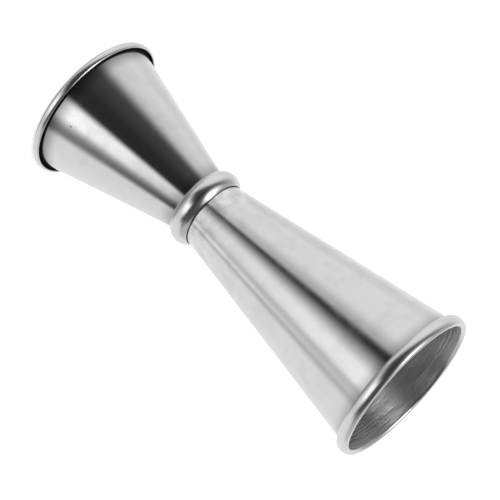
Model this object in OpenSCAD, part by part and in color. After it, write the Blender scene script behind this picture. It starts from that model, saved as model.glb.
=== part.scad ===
// Double jigger: two cone-shaped measures of drawn steel sheet, floor to floor,
// with a domed ring over the waist. It stands on the small mouth.
// The origin is the centre of the small rim, and +Z is the common axis.

/* [Cups] */
// Thickness of the steel sheet of both cups
sheet_t = 0.6; // [0.5:0.05:0.65]
// Height of the small cup, from its rim to the outside of its floor
small_h = 43.8; // [36:0.1:52]
// Height of the large cup, from the outside of its floor to its rim
large_h = 74.4; // [60:0.1:90]
// Diameter at which both cone walls, carried on, meet the plane of the floors
waist_d = 18.16; // [17:0.02:19]
// Outside radius of the bend between a floor and its wall
corner_r = 1.2; // [0.9:0.1:1.6]
// Width of the flat land that each rim stands on
land_w = 0.3; // [0.2:0.05:0.6]

/* [Small rim, an open curl] */
// Outside diameter of the small rim
small_rim_d = 43.74; // [40:0.02:48]
// Outside radius of the fold at the crest
small_fold_r = 1; // [1:0.05:1.3]
// Outside radius of the curl's bulging flank, seen in section
small_flank_r = 2.05; // [1.6:0.05:3]
// How far round the flank starts above its widest place, in degrees
small_flank_top = 10; // [5:1:30]
// How far round the flank ends below its widest place, at the rounded free edge, in degrees
small_flank_low = 28; // [20:1:36]

/* [Large rim, a closed oval bead] */
// Outside diameter of the large rim
large_rim_d = 45.56; // [42:0.02:50]
// Outside radius of the fold at the crest, and of the tuck under the bead
large_fold_r = 0.95; // [0.95:0.05:1.2]
// Outside radius of the bead's bulging flank, seen in section
large_flank_r = 2.75; // [1.6:0.05:4]
// How far round the flank reaches above and below its widest place, in degrees
large_flank_turn = 28; // [15:1:35]
// How far round the sheet turns in under the bead before its rounded end, in degrees
large_tuck = 94; // [80:1:96]

/* [Ring] */
// Outside diameter of the ring
ring_d = 23.32; // [22.4:0.02:25]
// Width of the ring along the axis
ring_w = 6.2; // [5:0.1:6.4]
// Radius of the ring's crown, seen in section
ring_crown_r = 3.7; // [3.4:0.1:6]
// Radius of the ring's two shoulders, seen in section
ring_shoulder_r = 1.9; // [1.6:0.1:2.2]
// Height of the ring's middle above the joint between the floors
ring_rise = 0.9; // [0.7:0.05:1]

/* [Joint] */
// Diameter of the spot weld that holds the two floors together
weld_d = 4; // [3:0.1:6]
// How deep the spot weld reaches into each floor
weld_depth = 0.35; // [0.2:0.05:0.4]
// Height of the solder that fills the groove under the ring
solder_h = 3.4; // [2:0.1:4]

/* [Hidden] */
$fn = 144;

// Largest angle between two points of a round stretch of a section
arc_step = 6;
// Clearance of the ring over the cone walls, on the tight side and on the open side
ring_fit = 0.02;
ring_gap = 0.22;
// The solder stops this far short of where the two floors touch
solder_back = 0.4;

waist_r = waist_d / 2;
joint_z = small_h;
ring_z = joint_z + ring_rise;

// Points along an arc, as [radius from the axis, height]. first is 1 where the arc carries on
// from the one before it, whose last point is its own first one.
function arc(centre, r, from, to, first = 0) =
    let (steps = ceil(abs(to - from) / arc_step), step = (to - from) / max(1, steps))
    [for (i = [first:1:steps]) let (a = from + i * step) centre + r * [cos(a), sin(a)]];

// Half of the angle that the flat land takes out of the fold
function land_angle(fold_r) = asin(land_w / 2 / fold_r);

// Centre of the fold at a rim's crest, which runs into the flank at the angle top
function fold_centre(h, rim_d, fold_r, flank_r, top) = [
    rim_d / 2 - flank_r + (flank_r - fold_r) * cos(top),
    h - fold_r * cos(land_angle(fold_r))
];

// Half-angle of the cone: its wall leaves the waist and ends tangent to the fold
function cone_angle(fold, fold_r) =
    let (run = fold - [waist_r, 0])
    atan2(run.x, run.y) - asin((fold_r - sheet_t) / norm(run));

// Centre of the bend between the floor and a wall that leans out by this angle
function corner_centre(lean) = [waist_r - corner_r * (1 - sin(lean)) / cos(lean), corner_r];

// Outside radius of a cone wall at this height above its floor's outside
function wall_r(fold, fold_r, height) = waist_r + height * tan(cone_angle(fold, fold_r));

small_fold = fold_centre(small_h, small_rim_d, small_fold_r, small_flank_r, small_flank_top);
large_fold = fold_centre(large_h, large_rim_d, large_fold_r, large_flank_r, large_flank_turn);

// The ring's bore is tight on the small cup, and opens towards the large one
bore_tight_r = ring_fit + wall_r(small_fold, small_fold_r, ring_w / 2 - ring_rise);
bore_open_r = ring_gap + wall_r(large_fold, large_fold_r, ring_w / 2 + ring_rise);

// Outline of a cup that opens upwards, with the outside of its floor at height 0.
// The rim folds out over its crest, runs down a flank that bulges from the angle top
// to the angle low, and turns in through the tuck to the rounded end of the sheet.
module cup_section(fold, fold_r, flank_r, top, low, end) {
    wall_lean = cone_angle(fold, fold_r);
    corner = corner_centre(wall_lean);
    land = land_angle(fold_r);
    crest_in_r = fold_r - sheet_t;
    arm = flank_r - fold_r;
    flank = fold - arm * [cos(top), sin(top)];
    tuck = flank + arm * [cos(low), sin(low)];
    tip = tuck + (fold_r - sheet_t / 2) * [cos(end), sin(end)];
    polygon(concat(
        // Outside of the floor, round the recess that the spot weld fills
        [[0, weld_depth], [weld_d / 2, weld_depth], [weld_d / 2, 0]],
        // Outside of the wall, up and over the crest and round the end of the sheet
        arc(corner, corner_r, -90, -wall_lean),
        arc(fold, crest_in_r, 180 - wall_lean, top),
        arc(flank, flank_r - sheet_t, top, low, 1),
        arc(tuck, crest_in_r, low, end, 1),
        arc(tip, sheet_t / 2, end - 180, end, 1),
        // Back along the other side of the sheet, with the land across the crest
        arc(tuck, fold_r, end, low, 1),
        arc(flank, flank_r, low, top, 1),
        arc(fold, fold_r, top, 90 - land, 1),
        arc(fold, fold_r, 90 + land, 180 - wall_lean),
        arc(corner, corner_r - sheet_t, -wall_lean, -90),
        [[0, sheet_t]]
    ));
}

// Filled outline of the narrow end of a cup, as far up as the ring reaches
module cup_envelope(fold, fold_r) {
    wall_lean = cone_angle(fold, fold_r);
    polygon(concat(
        [[0, 0]],
        arc(corner_centre(wall_lean), corner_r, -90, -wall_lean),
        [[wall_r(fold, fold_r, ring_w), ring_w], [0, ring_w]]
    ));
}

// Outline of the hole through the ring, about the ring's middle
module ring_hole() {
    past = ring_w;
    slope = (bore_open_r - bore_tight_r) / (ring_w / 2);
    polygon([
        [0, -past],
        [bore_tight_r, -past],
        [bore_tight_r, 0],
        [bore_tight_r + slope * past, past],
        [0, past]
    ]);
}

// Outline of the ring before it is bored: a crown arc that runs into two shoulder arcs
module ring_outline() {
    crown = [ring_d / 2 - ring_crown_r, 0];
    arm = ring_crown_r - ring_shoulder_r;
    rise = ring_w / 2 - ring_shoulder_r;
    spread = asin(rise / arm);
    shoulder = crown + arm * [cos(spread), sin(spread)];
    polygon(concat(
        [[0, -ring_w / 2]],
        arc([shoulder.x, -shoulder.y], ring_shoulder_r, -90, -spread),
        arc(crown, ring_crown_r, -spread, spread),
        arc(shoulder, ring_shoulder_r, spread, 90),
        [[0, ring_w / 2]]
    ));
}

module small_cup() {
    color("silver")
        translate([0, 0, joint_z])
        mirror([0, 0, 1])
        rotate_extrude()
        cup_section(small_fold, small_fold_r, small_flank_r,
            small_flank_top, -small_flank_low, -small_flank_low);
}

module large_cup() {
    color("silver")
        translate([0, 0, joint_z])
        rotate_extrude()
        cup_section(large_fold, large_fold_r, large_flank_r,
            large_flank_turn, -large_flank_turn, -large_tuck);
}

module waist_ring() {
    color("gainsboro")
        translate([0, 0, ring_z])
        rotate_extrude()
        difference() {
            ring_outline();
            ring_hole();
        }
}

module floor_weld() {
    color("dimgray")
        translate([0, 0, joint_z - weld_depth])
        cylinder(d = weld_d, h = 2 * weld_depth);
}

// The solder stands in the groove between the two cups' corners and the ring
module ring_solder() {
    floor_r = corner_centre(cone_angle(large_fold, large_fold_r)).x;
    color("darkgray")
        translate([0, 0, joint_z])
        rotate_extrude()
        difference() {
            intersection() {
                translate([0, ring_rise])
                    ring_hole();
                translate([floor_r + solder_back, -solder_h / 2])
                    square([ring_d / 2, solder_h]);
            }
            cup_envelope(large_fold, large_fold_r);
            mirror([0, 1])
                cup_envelope(small_fold, small_fold_r);
        }
}

small_cup();
large_cup();
waist_ring();
floor_weld();
ring_solder();
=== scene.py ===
import math

import bpy
from mathutils import Matrix, Vector


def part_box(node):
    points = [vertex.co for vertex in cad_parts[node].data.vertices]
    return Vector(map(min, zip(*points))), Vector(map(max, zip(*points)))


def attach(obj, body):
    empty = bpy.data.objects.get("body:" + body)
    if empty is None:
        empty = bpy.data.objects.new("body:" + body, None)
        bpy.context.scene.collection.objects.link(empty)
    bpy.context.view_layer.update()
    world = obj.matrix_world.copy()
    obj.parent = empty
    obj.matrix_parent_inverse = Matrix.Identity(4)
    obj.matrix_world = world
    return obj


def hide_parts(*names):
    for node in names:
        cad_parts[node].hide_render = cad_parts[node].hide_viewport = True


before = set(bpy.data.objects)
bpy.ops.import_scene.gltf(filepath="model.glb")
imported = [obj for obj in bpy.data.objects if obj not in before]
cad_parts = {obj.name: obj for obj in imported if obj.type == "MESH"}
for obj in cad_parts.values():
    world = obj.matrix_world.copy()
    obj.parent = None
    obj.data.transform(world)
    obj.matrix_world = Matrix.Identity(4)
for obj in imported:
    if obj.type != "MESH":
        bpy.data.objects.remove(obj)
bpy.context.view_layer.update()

MM = 0.001

# ---------------------------------------------------------------- the frame's own sizes
SMALL_LOW, SMALL_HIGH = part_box("small_cup")
LARGE_LOW, LARGE_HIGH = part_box("large_cup")
RING_LOW, RING_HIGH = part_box("waist_ring")
JOINT_Z = SMALL_HIGH.z
SMALL_H = SMALL_HIGH.z - SMALL_LOW.z
LARGE_H = LARGE_HIGH.z - LARGE_LOW.z
# The facets of the CAD reach a little less far on one side than on the other
SMALL_RIM_R = min(SMALL_HIGH.x, -SMALL_LOW.x)
LARGE_RIM_R = min(LARGE_HIGH.x, -LARGE_LOW.x)
RING_R = min(RING_HIGH.x, -RING_LOW.x)

# Sizes of the sheet metal that the boxes don't give
SHEET = 0.6 * MM
WAIST_R = 9.08 * MM
CORNER_R = 1.2 * MM
LAND = 0.3 * MM
SMALL_FOLD_R = 1.0 * MM
SMALL_FLANK_R = 2.05 * MM
SMALL_TURNS = (10, -28, -28)
LARGE_FOLD_R = 0.95 * MM
LARGE_FLANK_R = 2.75 * MM
LARGE_TURNS = (28, -28, -94)
RING_W = 6.2 * MM
RING_RISE = 0.9 * MM
RING_CROWN_R = 3.7 * MM
RING_SHOULDER_R = 1.9 * MM
RING_FIT = 0.02 * MM
RING_GAP = 0.22 * MM
# The wall is painted nearly black as shade from this far below the crest up, behind the rim's curl
CREVICE = 2.35 * MM

# Steps round the axis, and degrees between two points of an arc and of the sheet's round end
AROUND = 384
ARC_STEP = 4
TIP_STEP = 20
# A point this close to the axis is on it, and a turn sharper than this many degrees is an edge
ON_AXIS = 1e-7
SHARP = 30
# Points along a straight stretch: one this close to each end, and the rest about this far apart
END_GAP = 0.25 * MM
SPACING = 4 * MM


# ---------------------------------------------------------------- outlines and lathing
def on_arc(centre, r, angle):
    a = math.radians(angle)
    return centre[0] + r * math.cos(a), centre[1] + r * math.sin(a)


def arc(centre, r, start, end, step=ARC_STEP):
    """Points on an arc, as (radius from the axis, height), angles in degrees."""
    steps = max(1, math.ceil(abs(end - start) / step))
    return [on_arc(centre, r, start + (end - start) * i / steps) for i in range(steps + 1)]


def straight(a, b):
    """Points strictly between a and b: one close to each end, and the rest evenly spaced."""
    length = math.dist(a, b)
    if length < 3 * END_GAP:
        return []
    count = max(1, round(length / SPACING))
    shares = [END_GAP / length]
    shares += [i / count for i in range(1, count)]
    shares.append(1 - END_GAP / length)
    return [(a[0] + (b[0] - a[0]) * s, a[1] + (b[1] - a[1]) * s) for s in shares]


def chain(*stretches):
    """One outline from stretches of (slot, points). The straight gap between two
    stretches belongs to the first one."""
    outline = []
    stretches = [stretch for stretch in stretches if stretch[1]]
    for i, (slot, points) in enumerate(stretches):
        outline += [(slot, p) for p in points]
        following = stretches[(i + 1) % len(stretches)][1][0]
        outline += [(slot, p) for p in straight(points[-1], following)]
    return outline


def lathe(name, outline, materials, flip=False):
    """A closed mesh of revolution. flip is for an outline that was mirrored in height."""
    verts, rings = [], []
    for _, (r, z) in outline:
        if r < ON_AXIS:
            rings.append([len(verts)])
            verts.append((0, 0, z))
            continue
        rings.append(list(range(len(verts), len(verts) + AROUND)))
        for k in range(AROUND):
            a = 2 * math.pi * k / AROUND
            verts.append((r * math.cos(a), r * math.sin(a), z))
    faces, slots = [], []
    for i, (slot, _) in enumerate(outline):
        low, high = rings[i], rings[(i + 1) % len(rings)]
        if len(low) == 1 and len(high) == 1:
            continue
        for k in range(AROUND):
            n = (k + 1) % AROUND
            if len(low) == 1:
                face = (low[0], high[n], high[k])
            elif len(high) == 1:
                face = (low[k], low[n], high[0])
            else:
                face = (low[k], low[n], high[n], high[k])
            faces.append(face[::-1] if flip else face)
            slots.append(slot)
    mesh = bpy.data.meshes.new(name)
    mesh.from_pydata(verts, [], faces)
    for m in materials:
        mesh.materials.append(m)
    mesh.polygons.foreach_set("material_index", slots)
    mesh.polygons.foreach_set("use_smooth", [True] * len(faces))
    mesh.set_sharp_from_angle(angle=math.radians(SHARP))
    mesh.validate()
    piece = bpy.data.objects.new(name, mesh)
    bpy.context.scene.collection.objects.link(piece)
    return piece


class Rim:
    """A cup's sizes: its height, and the fold, flank and tuck that its rim is rolled with.

    turns are the angles where the flank starts, where it ends, and where the sheet ends."""

    def __init__(self, height, rim_r, fold_r, flank_r, turns):
        self.height = height
        self.fold_r = fold_r
        self.flank_r = flank_r
        self.top, self.low, self.end = turns
        self.land = math.degrees(math.asin(LAND / 2 / fold_r))
        arm = flank_r - fold_r
        flank_x = rim_r - flank_r
        self.fold = (
            flank_x + arm * math.cos(math.radians(self.top)),
            height - fold_r * math.cos(math.radians(self.land)),
        )
        self.flank = (flank_x, self.fold[1] - arm * math.sin(math.radians(self.top)))
        self.tuck = on_arc(self.flank, arm, self.low)
        # The wall leaves the waist and ends tangent to the fold
        run, rise = self.fold[0] - WAIST_R, self.fold[1]
        turn = math.asin((fold_r - SHEET) / math.hypot(run, rise))
        self.wall = math.atan2(run, rise) - turn

    def wall_r(self, up):
        """Outside radius of the cup's cone at a height above its floor."""
        return WAIST_R + up * math.tan(self.wall)


# UNDER is the slot for the faces behind the curls, which carry the painted shade
OUTSIDE, RIM, INSIDE, UNDER = 0, 1, 2, 3


def cup_outline(rim):
    """Outline of a cup that opens upwards, with the outside of its floor at height 0."""
    wall = math.degrees(rim.wall)
    corner = (WAIST_R - CORNER_R * (1 - math.sin(rim.wall)) / math.cos(rim.wall), CORNER_R)
    inner_r = rim.fold_r - SHEET
    hidden = rim.height - CREVICE
    crest_end = arc(rim.fold, rim.fold_r, 90 + rim.land, 180 - wall)
    tip = on_arc(rim.tuck, rim.fold_r - SHEET / 2, rim.end)
    return chain(
        (OUTSIDE, [(0, 0)]),
        (OUTSIDE, arc(corner, CORNER_R, -90, -wall)),
        (UNDER, [(rim.wall_r(hidden), hidden)]),
        (UNDER, arc(rim.fold, inner_r, 180 - wall, rim.top)),
        (UNDER, arc(rim.flank, rim.flank_r - SHEET, rim.top, rim.low)[1:]),
        (UNDER, arc(rim.tuck, inner_r, rim.low, rim.end)[1:-1]),
        (RIM, arc(tip, SHEET / 2, rim.end - 180, rim.end, TIP_STEP)[1:]),
        (RIM, arc(rim.tuck, rim.fold_r, rim.end, rim.low)[1:-1]),
        (RIM, arc(rim.flank, rim.flank_r, rim.low, rim.top)[1:]),
        (RIM, arc(rim.fold, rim.fold_r, rim.top, 90 - rim.land)[1:]),
        (RIM, crest_end[:-1]),
        (INSIDE, crest_end[-1:]),
        (INSIDE, arc(corner, CORNER_R - SHEET, -wall, -90)),
        (INSIDE, [(0, SHEET)]),
    )


BORE_STEPS = 20


def ring_outline(small, large):
    """Crown arc, two shoulder arcs, and a bore that opens towards the large cup."""
    half = RING_W / 2
    crown = RING_R - RING_CROWN_R
    arm = RING_CROWN_R - RING_SHOULDER_R
    spread = math.asin((half - RING_SHOULDER_R) / arm)
    sx = crown + arm * math.cos(spread)
    sz = arm * math.sin(spread)
    spread = math.degrees(spread)
    tight = RING_FIT + small.wall_r(half - RING_RISE)
    wide = RING_GAP + large.wall_r(half + RING_RISE)
    low_turn = math.degrees(math.acos((tight - sx) / RING_SHOULDER_R))
    slope = (wide - tight) / half
    # Where the opening bore meets the upper shoulder, closed in on step by step
    high_z = half
    for _ in range(BORE_STEPS):
        high_x = tight + slope * high_z
        high_z = sz + math.sqrt(RING_SHOULDER_R ** 2 - (high_x - sx) ** 2)
    high_turn = math.degrees(math.atan2(high_z - sz, high_x - sx))
    return chain(
        (0, [(tight, 0)]),
        (0, arc((sx, -sz), RING_SHOULDER_R, -low_turn, -spread)),
        (0, arc((crown, 0), RING_CROWN_R, -spread, spread)[1:-1]),
        (0, arc((sx, sz), RING_SHOULDER_R, spread, high_turn)),
    )


def moved(outline, z0, mirror=False):
    sign = -1 if mirror else 1
    return [(slot, (r, z0 + sign * z)) for slot, (r, z) in outline]


# ---------------------------------------------------------------- materials
class Graph:
    """Short calls for the nodes that the materials and the world share."""

    def __init__(self, owner):
        owner.use_nodes = True
        self.nodes = owner.node_tree.nodes
        self.links = owner.node_tree.links

    def plug(self, value, socket):
        """A number goes onto the socket itself, and a node's output is linked to it."""
        if isinstance(value, bpy.types.NodeSocket):
            self.links.new(value, socket)
        else:
            socket.default_value = value

    def math(self, operation, a, b=0.0):
        node = self.nodes.new("ShaderNodeMath")
        node.operation = operation
        self.plug(a, node.inputs[0])
        self.plug(b, node.inputs[1])
        return node.outputs[0]

    def dot(self, vector, constant):
        node = self.nodes.new("ShaderNodeVectorMath")
        node.operation = "DOT_PRODUCT"
        self.links.new(vector, node.inputs[0])
        node.inputs[1].default_value = constant
        return node.outputs["Value"]

    def distance(self, vector, point):
        node = self.nodes.new("ShaderNodeVectorMath")
        node.operation = "DISTANCE"
        self.links.new(vector, node.inputs[0])
        node.inputs[1].default_value = point
        return node.outputs["Value"]

    def scaled(self, vector, factors):
        node = self.nodes.new("ShaderNodeVectorMath")
        node.operation = "MULTIPLY"
        self.links.new(vector, node.inputs[0])
        node.inputs[1].default_value = factors
        return node.outputs[0]

    def blend(self, factor, a, b):
        """The mix of two numbers."""
        node = self.nodes.new("ShaderNodeMix")
        self.plug(factor, node.inputs["Factor"])
        self.plug(a, node.inputs["A"])
        self.plug(b, node.inputs["B"])
        return node.outputs["Result"]

    def ramp(self, value, low, high, out_low=0.0, out_high=1.0):
        """A smooth step from out_low at low to out_high at high."""
        node = self.nodes.new("ShaderNodeMapRange")
        node.interpolation_type = "SMOOTHSTEP"
        for socket, v in zip(node.inputs, (value, low, high, out_low, out_high)):
            self.plug(v, socket)
        return node.outputs[0]

    def noise(self, vector, scale, detail=2.0, rough=0.5, distort=0.0):
        node = self.nodes.new("ShaderNodeTexNoise")
        self.links.new(vector, node.inputs["Vector"])
        node.inputs["Scale"].default_value = scale
        node.inputs["Detail"].default_value = detail
        node.inputs["Roughness"].default_value = rough
        node.inputs["Distortion"].default_value = distort
        return node.outputs[0]

    def grey(self, value):
        node = self.nodes.new("ShaderNodeCombineColor")
        for socket in node.inputs:
            self.links.new(value, socket)
        return node.outputs[0]

    def place(self):
        return self.nodes.new("ShaderNodeTexCoord").outputs["Object"]

    def height(self, vector):
        node = self.nodes.new("ShaderNodeSeparateXYZ")
        self.links.new(vector, node.inputs[0])
        return node.outputs["Z"]

    def bump(self, height, distance, strength=1.0):
        node = self.nodes.new("ShaderNodeBump")
        node.inputs["Strength"].default_value = strength
        node.inputs["Distance"].default_value = distance
        self.links.new(height, node.inputs["Height"])
        return node.outputs[0]

    def around_axis(self):
        """A tangent that runs round the Z axis, the way the sheet was brushed."""
        node = self.nodes.new("ShaderNodeTangent")
        node.direction_type = "RADIAL"
        node.axis = "Z"
        return node.outputs[0]


def metal(name, anisotropy):
    """A material with a metallic Principled shader, brushed round the axis."""
    material = bpy.data.materials.new(name)
    graph = Graph(material)
    shader = graph.nodes["Principled BSDF"]
    shader.inputs["Metallic"].default_value = 1
    if anisotropy:
        shader.inputs["Anisotropic"].default_value = anisotropy
        shader.inputs["Anisotropic Rotation"].default_value = 0.25
        graph.links.new(graph.around_axis(), shader.inputs["Tangent"])
    return material, graph, shader


# Features per metre of the fine lines (round the axis, along it) and of the broad ones, and
# of the handling marks, the clouds and the blotches
FINE_LINES = (70, 5200)
BROAD_LINES = (25, 25, 900)
MARK_GRAIN = 150
CLOUD_GRAIN = 55
BLOTCH_GRAIN = 260
# Share of the fine lines in the whole pattern, and how strongly blotches change the tone
FINE_SHARE = 0.65
BLOTCHES = 0.7


def steel(name, tone, rough, anisotropy, lines, smudges, relief, pitch=1, run=1, handled=None,
          corners=(), pits=()):
    """Stainless steel with fine lines round the axis and soft handling marks.

    lines and smudges are how much each one changes the tone and the roughness, relief is the
    depth of the lines in metres, and pitch and run widen and lengthen the fine ones. handled is
    a range of heights over which blotches fade away. corners are (height, height, tone) of painted
    shade: the tone is darkened towards a corner at the first height, and is whole at the second
    one.
    pits are (place, radius, loss of tone) of small dark specks."""
    material, g, shader = metal(name, anisotropy)
    place = g.place()
    across, up = FINE_LINES[0] / run, FINE_LINES[1] / pitch
    fine = g.noise(g.scaled(place, (across, across, up)), 1, detail=3, rough=0.6)
    broad = g.noise(g.scaled(place, BROAD_LINES), 1, detail=2)
    fine_part = g.math("MULTIPLY", fine, FINE_SHARE)
    line = g.math("ADD", fine_part, g.math("MULTIPLY", broad, 1 - FINE_SHARE))
    mark = g.ramp(g.noise(place, MARK_GRAIN, detail=4, rough=0.6, distort=0.7), 0.42, 0.72)
    cloud = g.noise(place, CLOUD_GRAIN, detail=2)
    shade = g.math("SUBTRACT", tone + lines / 2, g.math("MULTIPLY", line, lines))
    shade = g.math("SUBTRACT", shade, g.math("MULTIPLY", mark, smudges))
    shade = g.math("ADD", shade, g.math("MULTIPLY", g.math("SUBTRACT", cloud, 0.5), smudges))
    if handled:
        blotch = g.noise(place, BLOTCH_GRAIN, detail=3, rough=0.55, distort=0.4)
        blotch = g.math("SUBTRACT", blotch, 0.5)
        near = g.ramp(g.height(place), handled[0], handled[1], BLOTCHES, 0)
        shade = g.math("ADD", shade, g.math("MULTIPLY", blotch, near))
    # Painted shade: the tone darkens towards each corner beside a rim or the ring
    for dark_at, clear_at, left in corners:
        start, end = (left, 1) if dark_at < clear_at else (1, left)
        reach = sorted((dark_at, clear_at))
        shade = g.math("MULTIPLY", shade, g.ramp(g.height(place), *reach, start, end))
    for centre, radius, loss in pits:
        speck = g.ramp(g.distance(place, centre), radius / 2, radius, 1 - loss, 1)
        shade = g.math("MULTIPLY", shade, speck)
    g.links.new(g.grey(shade), shader.inputs["Base Color"])
    gloss = g.math("ADD", rough, g.math("MULTIPLY", mark, smudges))
    gloss = g.math("ADD", gloss, g.math("MULTIPLY", line, lines))
    g.links.new(gloss, shader.inputs["Roughness"])
    g.links.new(g.bump(line, relief), shader.inputs["Normal"])
    return material


def rough_metal(name, low, high, rough, grain, relief):
    """Dull, pitted and uneven metal, between two tones. grain is in features per metre."""
    material, g, shader = metal(name, 0)
    place = g.place()
    lump = g.noise(place, grain, detail=4, rough=0.65)
    pit = g.ramp(g.noise(place, grain * 3, detail=2), 0.3, 0.45)
    surface = g.math("MULTIPLY", lump, pit)
    g.links.new(g.grey(g.blend(surface, low, high)), shader.inputs["Base Color"])
    g.links.new(g.math("ADD", rough, g.math("MULTIPLY", lump, 0.25)), shader.inputs["Roughness"])
    g.links.new(g.bump(surface, relief), shader.inputs["Normal"])
    return material


satin = steel(
    "satin_small_cup", tone=0.65, rough=0.13, anisotropy=0.6,
    lines=0.03, smudges=0.03, relief=0.000002,
    # corners: painted shade near the rim and near the ring
    corners=(
        (1.5 * MM, 6.5 * MM, 0.35),
        (JOINT_Z - 1.3 * MM, JOINT_Z - 6.3 * MM, 0.6),
    ),
    pits=(
        ((7.9 * MM, -16.95 * MM, 7.6 * MM), 0.4 * MM, 0.5),
        ((7.2 * MM, -16.9 * MM, 8.7 * MM), 0.35 * MM, 0.15),
    ),
)
handled_satin = steel(
    "satin_large_cup", tone=0.65, rough=0.13, anisotropy=0.6,
    lines=0.03, smudges=0.04, relief=0.000002,
    handled=(JOINT_Z, JOINT_Z + 22 * MM),
    # corners: painted shade near the bead of the rim
    corners=((LARGE_HIGH.z - 2.2 * MM, LARGE_HIGH.z - 7.2 * MM, 0.55),),
)
rim_steel = steel(
    "polished_rim", tone=0.66, rough=0.24, anisotropy=0.3,
    lines=0.02, smudges=0.02, relief=0.000001,
)
inner = steel(
    "brushed_inside", tone=0.61, rough=0.08, anisotropy=0.95,
    lines=0.42, smudges=0.05, relief=0.00028, pitch=2.2, run=0.5,
)
ring_steel = steel(
    "polished_ring", tone=0.67, rough=0.24, anisotropy=0.0,
    lines=0.01, smudges=0.02, relief=0.0000005,
)
# The faces behind the curls get painted shade, a nearly black sheet, which keeps the gap under the
# small rim dark
curl_shade = rough_metal(
    "painted_shade_under_curl", low=0.02, high=0.06, rough=0.6, grain=1200, relief=0.00001,
)
weld_metal = rough_metal("weld_metal", low=0.32, high=0.5, rough=0.35, grain=1500, relief=0.00004)
solder = rough_metal("solder", low=0.42, high=0.62, rough=0.3, grain=900, relief=0.00006)

# ---------------------------------------------------------------- pieces
small = Rim(SMALL_H, SMALL_RIM_R, SMALL_FOLD_R, SMALL_FLANK_R, SMALL_TURNS)
large = Rim(LARGE_H, LARGE_RIM_R, LARGE_FOLD_R, LARGE_FLANK_R, LARGE_TURNS)
for name, node, slot, rim, outside, down in (
    ("small_cup_skin", "small_cup", "satin_steel_small", small, satin, True),
    ("large_cup_skin", "large_cup", "satin_steel_large", large, handled_satin, False),
):
    outline = moved(cup_outline(rim), JOINT_Z, down)
    # The last slot covers the faces behind the curl with painted shade
    cup = lathe(name, outline, [outside, rim_steel, inner, curl_shade], flip=down)
    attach(cup, "root")
    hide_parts(node)

outline = moved(ring_outline(small, large), JOINT_Z + RING_RISE)
ring = lathe("waist_ring_skin", outline, [ring_steel])
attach(ring, "root")
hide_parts("waist_ring")

# The weld and the solder are hidden inside the joint and keep their CAD shapes
for node, material in (("floor_weld", weld_metal), ("ring_solder", solder)):
    solid = bpy.data.objects[node]
    solid.data.materials.clear()
    solid.data.materials.append(material)

# ---------------------------------------------------------------- floor
FLOOR_HALF = 3.0
FLOOR_TONE = 0.9
FLOOR_GLOW = 0.6
signs = [(-1, -1), (1, -1), (1, 1), (-1, 1)]
corners = [(x * FLOOR_HALF, y * FLOOR_HALF, 0) for x, y in signs]
floor_mesh = bpy.data.meshes.new("floor")
floor_mesh.from_pydata(corners, [], [(0, 1, 2, 3)])
floor = bpy.data.objects.new("floor", floor_mesh)
bpy.context.scene.collection.objects.link(floor)
floor_material = bpy.data.materials.new("white_sweep")
floor_graph = Graph(floor_material)
floor_shader = floor_graph.nodes["Principled BSDF"]
floor_shader.inputs["Base Color"].default_value = (FLOOR_TONE, FLOOR_TONE, FLOOR_TONE, 1)
floor_shader.inputs["Roughness"].default_value = 1
floor_shader.inputs["Specular IOR Level"].default_value = 0
# The sweep is lit from below as well, so that it stays white under the object
floor_shader.inputs["Emission Color"].default_value = (1, 1, 1, 1)
floor_shader.inputs["Emission Strength"].default_value = FLOOR_GLOW
floor_mesh.materials.append(floor_material)
# The steel reflects the tent's own lower half instead of the floor
floor.visible_glossy = False

# ---------------------------------------------------------------- camera
MIDDLE = Vector((0, 0, LARGE_HIGH.z / 2))
CAM_TILT = math.radians(18.771)
CAM_ROLL = math.radians(42.108)
CAM_DISTANCE = 496.89 * MM
CAM_RIGHT = 1.745 * MM
CAM_DOWN = 2.034 * MM
CAM_LENS = 135.787
CAM_SENSOR = 36
CLIP_START, CLIP_END = 0.01, 20

# The picture's own right and down, and the way that the camera looks
s, c = math.sin(CAM_TILT), math.cos(CAM_TILT)
sr, cr = math.sin(CAM_ROLL), math.cos(CAM_ROLL)
right = Vector((-sr, cr * s, cr * c))
down = Vector((cr, sr * s, sr * c))
ahead = Vector((0, c, -s))
spot = MIDDLE + right * CAM_RIGHT + down * CAM_DOWN - ahead * CAM_DISTANCE
camera_data = bpy.data.cameras.new("camera")
camera_data.sensor_width = CAM_SENSOR
camera_data.lens = CAM_LENS
camera_data.clip_start = CLIP_START
camera_data.clip_end = CLIP_END
camera = bpy.data.objects.new("camera", camera_data)
bpy.context.scene.collection.objects.link(camera)
turn = Matrix((right, -down, -ahead)).transposed()
camera.matrix_world = Matrix.Translation(spot) @ turn.to_4x4()
bpy.context.scene.camera = camera
bpy.context.scene.view_settings.view_transform = "Standard"

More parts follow.
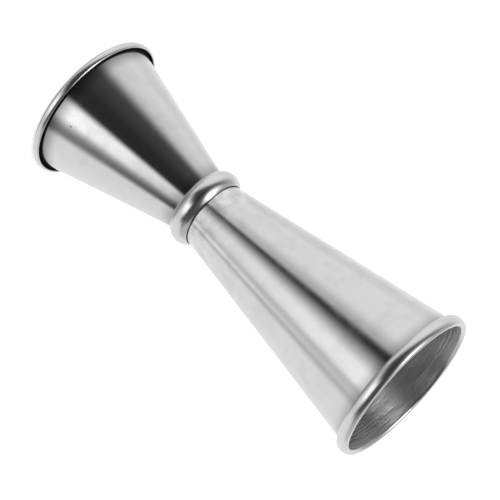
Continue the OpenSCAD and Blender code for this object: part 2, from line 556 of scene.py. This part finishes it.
# ---------------------------------------------------------------- light
# A white tent with lights and dark gaps. Azimuth 0 is the front, positive towards +X, and
# height is the angle above the horizon, all in degrees. Each panel covers the ones before it.
# Its first two groups are the upright edges (azimuth, softness, slant), and the next two the
# lower and upper edges (height, softness). The last number is the level. A slanting edge moves
# by slant degrees of azimuth for each degree above the panel's middle height.
DEGREES = 180 / math.pi
PANELS = [
    # Grey upper walls at the left and the right, and the darker table below
    ((-170, 12, -1.4), (-87, 8, -1.4), (3, 12), (77, 15), 0.54),
    ((77, 8, 1.3), (161, 12, 1.3), (5, 1), (82, 15), 0.64),
    ((-400, 1, 0), (400, 1, 0), (-200, 1), (-59, 13), 0.5),
    ((0, 20, 0.1), (160, 20, 0.1), (-76, 8), (-48, 9), 0.36),
    # The dark gap in front, beside the camera: its whole, its lower left part, its darkest
    # part, and its upper part, which slants to the right
    ((-49, 14, -2.2), (24, 11, -0.9), (-32, 30), (27, 10), 0.06),
    ((-42.8, 12, -1.1), (4, 10, 0), (-29, 6), (-2, 5), 0.06),
    ((-24, 16, 0), (20, 12, 0), (-1, 6), (20, 12), 0.026),
    ((-21, 12, 0.67), (90, 6, 0.67), (16, 10), (89, 10), 0.08),
    # Strip light at the right, the shade that slants down across it, and the tent beside it
    ((17.7, 7, 0), (48, 9, 0), (-33, 6), (13, 6), 1.65),
    ((52, 12, 0), (90, 4, 0), (-10, 8), (30, 8), 0.28),
    ((14.5, 9, -7.8), (72, 7, 0), (-6, 4), (25, 8), 0.02),
    ((73, 7, 0), (108, 25, 0), (-25, 8), (12, 6), 1.0),
    # High light at the left
    ((-74, 6, 0), (-33, 5, 0), (49, 5), (64, 6), 7.5),
    # What the large cup sees low down: grey, a dark line, a wide grey line with a bright and a
    # darker one in it, and a glow
    ((-40, 14, -0.5), (-10, 5, -0.5), (-40, 6), (-28, 5), 0.58),
    ((-21, 2.5, -0.8), (2, 19, 0), (-46, 8), (-25, 5), 0.0),
    ((48, 5, 0.1), (77, 6, 0.1), (-50, 6), (-27, 4), 0.66),
    ((54, 2.5, 1), (61.5, 2.5, 1), (-52, 6), (-33, 4), 1.5),
    ((65, 3, 0), (73, 3, 0), (-33, 3), (-28, 4), 0.52),
    ((16, 13, 0), (43, 7, 0), (-36.5, 4), (-29, 4), 1.25),
]


def tent(panels):
    world = bpy.data.worlds.new("tent")
    bpy.context.scene.world = world
    g = Graph(world)
    way = g.nodes.new("ShaderNodeTexCoord").outputs["Generated"]
    turn = g.math("ARCTAN2", g.dot(way, (1, 0, 0)), g.dot(way, (0, -1, 0)))
    azimuth = g.math("MULTIPLY", turn, DEGREES)
    height = g.math("MULTIPLY", g.math("ARCSINE", g.dot(way, (0, 0, 1))), DEGREES)
    light = tent_wall(g, azimuth)
    for (from_at, from_soft, from_slant), (to_at, to_soft, to_slant), low, high, level in panels:
        above = g.math("SUBTRACT", height, (low[0] + high[0]) / 2)
        start = g.math("SUBTRACT", azimuth, g.math("MULTIPLY", above, from_slant))
        stop = g.math("SUBTRACT", azimuth, g.math("MULTIPLY", above, to_slant))
        mask = g.ramp(start, from_at - from_soft, from_at + from_soft)
        mask = g.math("MULTIPLY", mask, g.ramp(stop, to_at - to_soft, to_at + to_soft, 1, 0))
        mask = g.math("MULTIPLY", mask, g.ramp(height, low[0] - low[1], low[0] + low[1]))
        mask = g.math("MULTIPLY", mask, g.ramp(height, high[0] - high[1], high[0] + high[1], 1, 0))
        light = g.blend(mask, light, level)
    g.links.new(light, g.nodes["Background"].inputs["Strength"])
    g.nodes["Background"].inputs["Color"].default_value = (1, 1, 1, 1)


# Level of the tent's plain wall, and three changes of it. Each is (change, start of fade, end
# of fade), as angles from the front, from the front, and from the middle of the left side.
WALL = 1.04
WALL_FRONT = (-0.01, 40, 100)
WALL_BEHIND = (-0.07, 110, 180)
WALL_LEFT = (-0.12, 5, 25)
LEFT_MIDDLE = 125


def tent_wall(g, azimuth):
    """The plain tent: a little darker behind the object and at the left."""
    aside = g.math("ABSOLUTE", azimuth)
    left = g.math("ABSOLUTE", g.math("ADD", azimuth, LEFT_MIDDLE))
    change, near, far = WALL_BEHIND
    wall = g.math("ADD", WALL, g.ramp(aside, near, far, 0, change))
    change, near, far = WALL_FRONT
    wall = g.math("ADD", wall, g.ramp(aside, near, far, change, 0))
    change, near, far = WALL_LEFT
    return g.math("ADD", wall, g.ramp(left, near, far, change, 0))


tent(PANELS)
